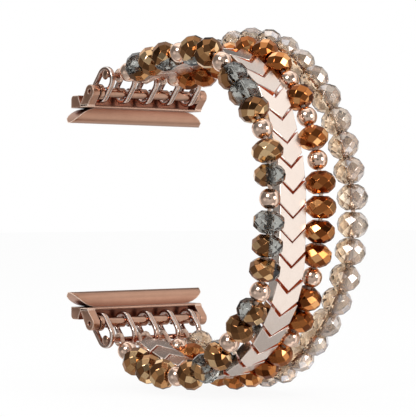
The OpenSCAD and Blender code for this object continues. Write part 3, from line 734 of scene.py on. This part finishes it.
def strung(name, finish, along, kind, segment, form, spin=137.5, bevel=0.05, sharp=12,
           coat_of=lambda i: (0, 0, 1)):
    """Copies of one form at the places of a kind in a segment of some strands, each turned by one spin
    in degrees more than the last. Kept with them: each copy's own chance number, each facet's own
    one, and how far a point lies towards the coated side, as a share of a bead's radius."""
    points, faces = form
    chosen = [(s, i) for s in along for i in range(len(s.kinds))
              if s.kinds[i] == kind and s.segment(i) == segment]
    copies, copied, chance, coat, facet = [], [], [], [], []
    for number, (s, i) in enumerate(chosen):
        axes, middle = s.stand(i)
        w = math.radians(spin * i)
        local = points @ np.array([[math.cos(w), math.sin(w), 0], [-math.sin(w), math.cos(w), 0], [0, 0, 1]])
        copies.append(local @ axes + middle)
        copied += [[number * len(points) + v for v in face] for face in faces]
        random = np.random.default_rng(1000 * i + int(10 * s.side_x + 500))
        chance.append(np.full(len(points), random.random()))
        sideways, outwards, reach = coat_of(i)
        coat.append(local @ np.array([sideways, outwards, 0]) / bead_radius + reach)
        facet.append(random.random(len(faces)))
    piece = put_together(name, finish, [(np.concatenate(copies), copied)], sharp, bevel, 1)
    mark(piece, "chance", "POINT", np.concatenate(chance))
    mark(piece, "coat", "POINT", np.concatenate(coat))
    mark(piece, "facet", "FACE", np.concatenate(facet))
    return piece


def tone(finish, shared=0.15):
    """A number from 0 to 1: mostly each facet's own, with a share of its bead's."""
    return own(finish, "facet") * (1 - shared) + own(finish, "chance") * shared


# Bronze and smoky beads of the crown-side strand: smoky clear glass, most of them with a bronze
# mirror coat over all or over one side. Where the coat ends, the glass shows.
coated = Finish("bronze_coat_over_smoky_glass", Metallic=1.0)
# The colour changes at random from facet to facet: partly the coat's own uneven tone, partly painted
# reflection, the near-black facets and the bright gold glints standing in for what each facet mirrors.
bronze = coated.ramp(tone(coated), (0.0, (0.075, 0.032, 0.012)), (0.35, (0.21, 0.094, 0.037)),
                     (0.58, (0.36, 0.168, 0.066)), (0.73, (0.63, 0.34, 0.145)), (0.85, (1.0, 0.68, 0.37)))
coated.give(Base_Color=bronze, Roughness=0.07 + coated.noise(0.8) * 0.1)
glass = coated.node("ShaderNodeBsdfPrincipled", {}, {
    "Base Color": (0.21, 0.21, 0.195, 1), "Roughness": 0.09, "Transmission Weight": 1.0, "IOR": 1.5})
edge_of_coat = own(coated, "coat") * 9.0 + (coated.noise(0.7) - 0.5) * 1.2 + 0.5
coated.show(coated.mix(coated.clamp(edge_of_coat), glass, coated.base))

# Which way the coat faces on each partly coated bead, as sideways and outwards, and how far it
# reaches: 1 covers the bead, 0 half of it, -1 leaves it bare. The rest are coated all over.
part_coats = {
    1: (0.3, -0.9, -0.25), 3: (-0.6, 0.8, 0.0), 5: (-0.7, 0.7, 0.0), 8: (-0.75, -0.6, -0.4),
    9: (-0.7, -0.7, -0.7), 13: (-0.77, -0.64, -0.25), 15: (-0.77, -0.64, -0.85), 16: (-0.77, -0.64, 0.05),
    17: (-0.77, -0.64, 0.5), 19: (0.5, 0.8, 0.05), 20: (-0.9, 0.3, 0.1), 22: (-0.9, 0.3, 0.2),
    23: (-0.9, 0.3, -0.7)}
for segment in segments:
    beads = strung(f"bronze_and_smoky_beads_{segment}", coated, [strands["mixed"]], "r", segment,
                   rondelle(lengths["r"]), coat_of=lambda i: part_coats.get(i, (0, 0, 1)))
    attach(beads, f"band_{segment}")
    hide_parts(f"mixed_beads_{segment}")


# Copper beads: pressed glass rondelles like the bronze ones but a little thicker, mirror-coated all
# over in copper and threaded with gold balls between them.
copper_coat = Finish("copper_coated_glass", Metallic=1.0)
# The colour changes at random from facet to facet: partly the coat's own uneven tone, partly painted
# reflection, the near-black facets and the bright orange glints standing in for what each facet mirrors.
copper = copper_coat.ramp(tone(copper_coat), (0.0, (0.07, 0.016, 0.004)), (0.35, (0.36, 0.108, 0.028)),
                          (0.65, (0.56, 0.20, 0.058)), (0.92, (0.95, 0.49, 0.20)))
copper_coat.give(Base_Color=copper, Roughness=0.06 + copper_coat.noise(0.8) * 0.08)
for segment in segments:
    beads = strung(f"copper_coated_beads_{segment}", copper_coat, [strands["copper"]], "c", segment,
                   rondelle(lengths["c"]))
    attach(beads, f"band_{segment}")
    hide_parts(f"copper_beads_{segment}")


# Pale crystal beads: clear pressed glass with a champagne tint, the thickest of the three. A thin
# metal lustre is fired on, more of it on one side and on some facets.
champagne = Finish("champagne_crystal", Roughness=0.06, Transmission_Weight=1.0, IOR=1.53)
# The glass tint and the lustre's hue change at random from facet to facet: partly their own uneven tone,
# partly painted reflection, the brown facets and the near-white, faintly blue ones standing in for what each
# facet mirrors.
champagne.give(Base_Color=champagne.ramp(own(champagne, "facet"), (0.0, (0.49, 0.335, 0.205)),
                                         (0.5, (0.68, 0.51, 0.35)), (1.0, (0.88, 0.74, 0.57))))
hue = champagne.ramp(tone(champagne, 0.2), (0.0, (0.47, 0.36, 0.30)), (0.35, (0.62, 0.55, 0.54)),
                     (0.7, (0.74, 0.64, 0.55)), (0.95, (0.90, 0.91, 1.0)))
lustre = champagne.node("ShaderNodeBsdfPrincipled", {}, {
    "Base Color": hue, "Metallic": 1.0, "Roughness": 0.18})
coated_side = champagne.clamp(own(champagne, "coat") * 6.0 + 0.5)
lustre_share = coated_side * (0.34 + own(champagne, "facet") * 0.3) + 0.07
champagne.show(champagne.mix(lustre_share, champagne.base, lustre))
for segment in segments:
    beads = strung(f"champagne_beads_{segment}", champagne, [strands["crystal"]], "p", segment,
                   rondelle(lengths["p"]), coat_of=lambda i: (0.77, 0.64, 0.1))
    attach(beads, f"band_{segment}")
    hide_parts(f"crystal_beads_{segment}")


# Gold balls: hollow balls pressed from thin metal, plated in rose gold and polished to a mirror,
# with the edge of the bore rolled in. They part the faceted beads of two of the strands.
def ball(radius=1.95, bore=0.6, sides=40):
    """A sphere's profile from bore to bore, rolled in at both ends, and the straight bore between them."""
    last = math.acos((bore + 0.08) / radius)
    w = np.linspace(-last, last, 27)
    top = radius * math.sin(last)
    rolled_in = [[bore + 0.02, top - 0.04], [bore, top - 0.12], [bore, 0.12 - top], [bore + 0.02, 0.04 - top]]
    profile = np.concatenate([np.stack([radius * np.cos(w), radius * np.sin(w)], 1), rolled_in])
    a = np.linspace(0, 2 * math.pi, sides, endpoint=False)
    r, z = profile.T[..., None]
    return skin(np.stack([r * np.cos(a), r * np.sin(a), z + 0 * a], -1), along_closed=True)


ball_gold = Finish("polished_rose_gold_balls", Metallic=1.0)
haze = ball_gold.noise(1.2, 2.0)
ball_gold.give(Base_Color=ball_gold.blend(haze, (0.79, 0.51, 0.375, 1), (1.0, 0.78, 0.64, 1)),
               Roughness=0.08 + haze * 0.09)
for segment in segments:
    balls = strung(f"rose_gold_balls_{segment}", ball_gold, [strands["mixed"], strands["copper"]], "b",
                   segment, ball(), bevel=0, sharp=60)
    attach(balls, f"band_{segment}")
    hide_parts(f"gold_balls_{segment}")


# Chevron links: pressed V plates in pale rose-gold plating, mirror-bright on the bevels and softly
# brushed on the face, nested in each other on two cords. Their end walls in the gaps are painted
# copper-red, a painted reflection of light bounced between the plates.
def chevron(long=4.15, bevel=0.1, wide=6.6, dip=2.6, thick=2.2):
    """A V outline at four depths, drawn in by the bevel on both faces, and joined between the depths."""
    w, arm, d, face_y = wide / 2, long / 2, dip / 2, thick / 2
    outline = np.array([[0, arm + d], [-w, arm - d], [-w, -arm - d],
                        [0, d - arm], [w, -arm - d], [w, arm - d]])
    along = unit(np.roll(outline, -1, 0) - outline)
    normal = np.stack([-along[:, 1], along[:, 0]], 1)
    before = np.roll(normal, 1, 0)
    inner = outline + bevel * (normal + before) / (1 + (normal * before).sum(1))[:, None]
    depths = ((inner, -face_y), (outline, bevel - face_y), (outline, face_y - bevel), (inner, face_y))
    return skin(np.stack([np.stack([p[:, 0], np.full(len(p), y), p[:, 1]], 1) for p, y in depths]))


plate_gold = Finish("pale_rose_gold_plates")
haze = plate_gold.noise(2.5, 3.0)
grain = plate_gold.noise(0.1, 3.0)
face_gold = plate_gold.blend(haze, (0.91, 0.765, 0.67, 1), (0.97, 0.845, 0.76, 1))
# The coat mark is the way from a link's middle towards its faces over a bead's radius: the bevel
# starts at 0.33, and from 0.29 inwards an end wall has the full painted copper-red, a painted
# reflection of the light bounced in the gap, and is less metallic.
under_bevel = plate_gold.node("ShaderNodeMapRange", {}, {
    "Value": abs(own(plate_gold, "coat")), "From Min": 0.33, "From Max": 0.29})
gap_glow_painted = under_bevel * own(plate_gold, "end_wall")
plate_gold.give(Base_Color=plate_gold.blend(gap_glow_painted, face_gold, (0.72, 0.19, 0.065, 1)),
                Roughness=0.14 + grain * 0.14, Metallic=1.0 - gap_glow_painted * 0.45)
plate_gold.bumped(grain, 0.003, 0.4)

# End walls are the faces that reach across the link as well as into its thickness.
link = chevron()
spans = [np.ptp(link[0][face], axis=0) for face in link[1]]
end_walls = [span[0] > 1 and span[1] > 0.05 for span in spans]
for segment in segments:
    links = strung(f"pale_chevrons_{segment}", plate_gold, [strands["chevron"]], "v", segment, link,
                   spin=0, bevel=0.03, coat_of=lambda i: (0, 1, 0))
    mark(links, "end_wall", "FACE", np.tile(end_walls, len(links.data.polygons) // len(end_walls)))
    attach(links, f"band_{segment}")
    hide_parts(f"chevron_links_{segment}")


# The studio: a floor of pale paper just under the band, which the camera sees nearly white, and
# three round soft lamps.
floor_half, under_band = 2.0, 0.0004
low = min(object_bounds()[0][2], cad_box[0][2]) - under_band
floor_mesh = bpy.data.meshes.new("studio_floor")
corners = [(x * floor_half, y * floor_half, low) for x, y in ((-1, -1), (1, -1), (1, 1), (-1, 1))]
floor_mesh.from_pydata(corners, [], [(0, 1, 2, 3)])
floor = bpy.data.objects.new("studio_floor", floor_mesh)
bpy.context.scene.collection.objects.link(floor)
paper = Finish("pale_studio_paper", Base_Color=(0.92, 0.92, 0.92, 1), Roughness=0.9)
glow, clear = paper.node("ShaderNodeEmission"), paper.node("ShaderNodeBsdfTransparent")
seen = paper.mix(paper.ray("Camera") * 0.92, paper.base, glow)
paper.show(paper.mix(paper.ray("Glossy") * 0.8, seen, clear))
floor_mesh.materials.append(paper.material)


def soft_lamp(name, place, size, power, aim=(0, -0.026, -0.019)):
    """A round area lamp of a size in metres and a power in watts, turned from its place to its aim."""
    lamp = bpy.data.lights.new(name, "AREA")
    lamp.shape, lamp.size, lamp.energy = "DISK", size, power
    stand = bpy.data.objects.new(name, lamp)
    bpy.context.scene.collection.objects.link(stand)
    stand.location = place
    stand.rotation_euler = (Vector(aim) - Vector(place)).to_track_quat("-Z", "Y").to_euler()


soft_lamp("key_softbox", (-0.42, -0.22, 0.30), 0.20, 0.9)
soft_lamp("fill_softbox", (0.12, -0.50, 0.06), 0.22, 0.7)
soft_lamp("top_softbox", (0.05, 0.10, 0.45), 0.52, 0.42)

# Metal and glass see the white backdrop behind the band and, towards the camera, a dim tent of
# cloth with a tall bright strip at the front right, small bright panels and a dark opening for the
# lens. The backdrop is dimmed in two places. The camera sees plain white.
world = bpy.data.worlds.new("white_studio")
bpy.context.scene.world = world
tent = Shading(world)
heading = tent.node("ShaderNodeTexCoord", out="Generated")


def rise(direction, low, high):
    """0 to 1 as the share of a ray along a direction goes from a low value to a high one."""
    share = tent.node("ShaderNodeVectorMath", {"operation": "DOT_PRODUCT"},
                      {0: heading, 1: direction}, out="Value")
    return tent.node("ShaderNodeMapRange", {"interpolation_type": "SMOOTHSTEP"},
                     {"Value": share, "From Min": low, "From Max": high})


def panel(direction, full, none):
    """1 within an angle of a direction, falling smoothly to 0 at a wider angle; both in degrees."""
    towards = tuple(unit(np.array(direction)))
    return rise(towards, math.cos(math.radians(none)), math.cos(math.radians(full)))


# Direction, the two angles and the strength of each panel: the tent's lighter cloth behind the
# camera, above and below; spots at the upper left, left, top, upper right and twice below; the lens.
line_of_sight, to_the_lens = (0.643, 0.766, 0.0), (-0.643, -0.766, 0.0)
panels = (
    (to_the_lens, 15, 60, 0.2), ((0, 0, 1), 12, 50, 0.3), ((0, 0, -1), 12, 50, 0.25),
    ((-0.78, -0.30, 0.55), 11, 17, 1.9), ((-0.97, 0.15, -0.1), 12, 20, 0.4),
    ((-0.15, -0.3, 0.95), 17, 24, 0.5), ((0.643, -0.08, 0.76), 10, 24, 0.55),
    ((0.15, -0.58, -0.8), 10, 17, 0.9), ((0.1, 0.0, -1), 15, 23, 0.65), (to_the_lens, 6, 15, -0.3))
cloth = sum((panel(direction, full, none) * strength for direction, full, none, strength in panels), 0.18)
strip = rise((1, 0, 0), 0.38, 0.52) * rise((1, 0, 0), 0.90, 0.76) * rise((0, -1, 0), 0.1, 0.45) * 0.80
backdrop = rise(line_of_sight, 0.3, 0.78) * 0.95
dusk = 1 - panel((0.643, 0.62, -0.45), 9, 22) * 0.6 - panel((0.643, 0.57, 0.51), 12, 24) * 0.85
level = (cloth + strip) * (1 - backdrop) + backdrop * dusk
even_light, least_in_glass = 0.8, 0.3
in_glass = level * (1 - least_in_glass) + least_in_glass
glossy_ray, glass_ray = tent.ray("Glossy"), tent.ray("Transmission")
unseen = even_light * (1 - glossy_ray) * (1 - glass_ray) + level * glossy_ray + in_glass * glass_ray
shown = tent.node("ShaderNodeMix", {"data_type": "FLOAT"}, {0: tent.ray("Camera"), 2: unseen, 3: 1.0})
surround = tent.nodes["Background"]
tent.feed(surround.inputs["Color"], (1, 1, 1, 1))
tent.feed(surround.inputs["Strength"], shown)

# The camera of the photograph: level, 40 degrees from the side, with its focal length in pixels of
# a picture 416 pixels wide, and its place in millimetres to the right, back and up.
photo_width, focal_length, sensor = 416, 1837.7, 36.0
aside, distance, height = 15.05, 380, -0.2
azimuth = math.radians(-40)
right = np.array([math.cos(azimuth), math.sin(azimuth), 0])
back = np.array([math.sin(azimuth), -math.cos(azimuth), 0])
view = bpy.data.cameras.new("photo_camera")
view.sensor_fit, view.sensor_width, view.lens = "HORIZONTAL", sensor, focal_length / photo_width * sensor
camera = bpy.data.objects.new("photo_camera", view)
bpy.context.scene.collection.objects.link(camera)
camera.location = in_frame(aside * right + distance * back + [0, 0, height])
camera.rotation_euler = (math.radians(90), 0, azimuth)
bpy.context.scene.camera = camera
bpy.context.scene.view_settings.view_transform = "Standard"
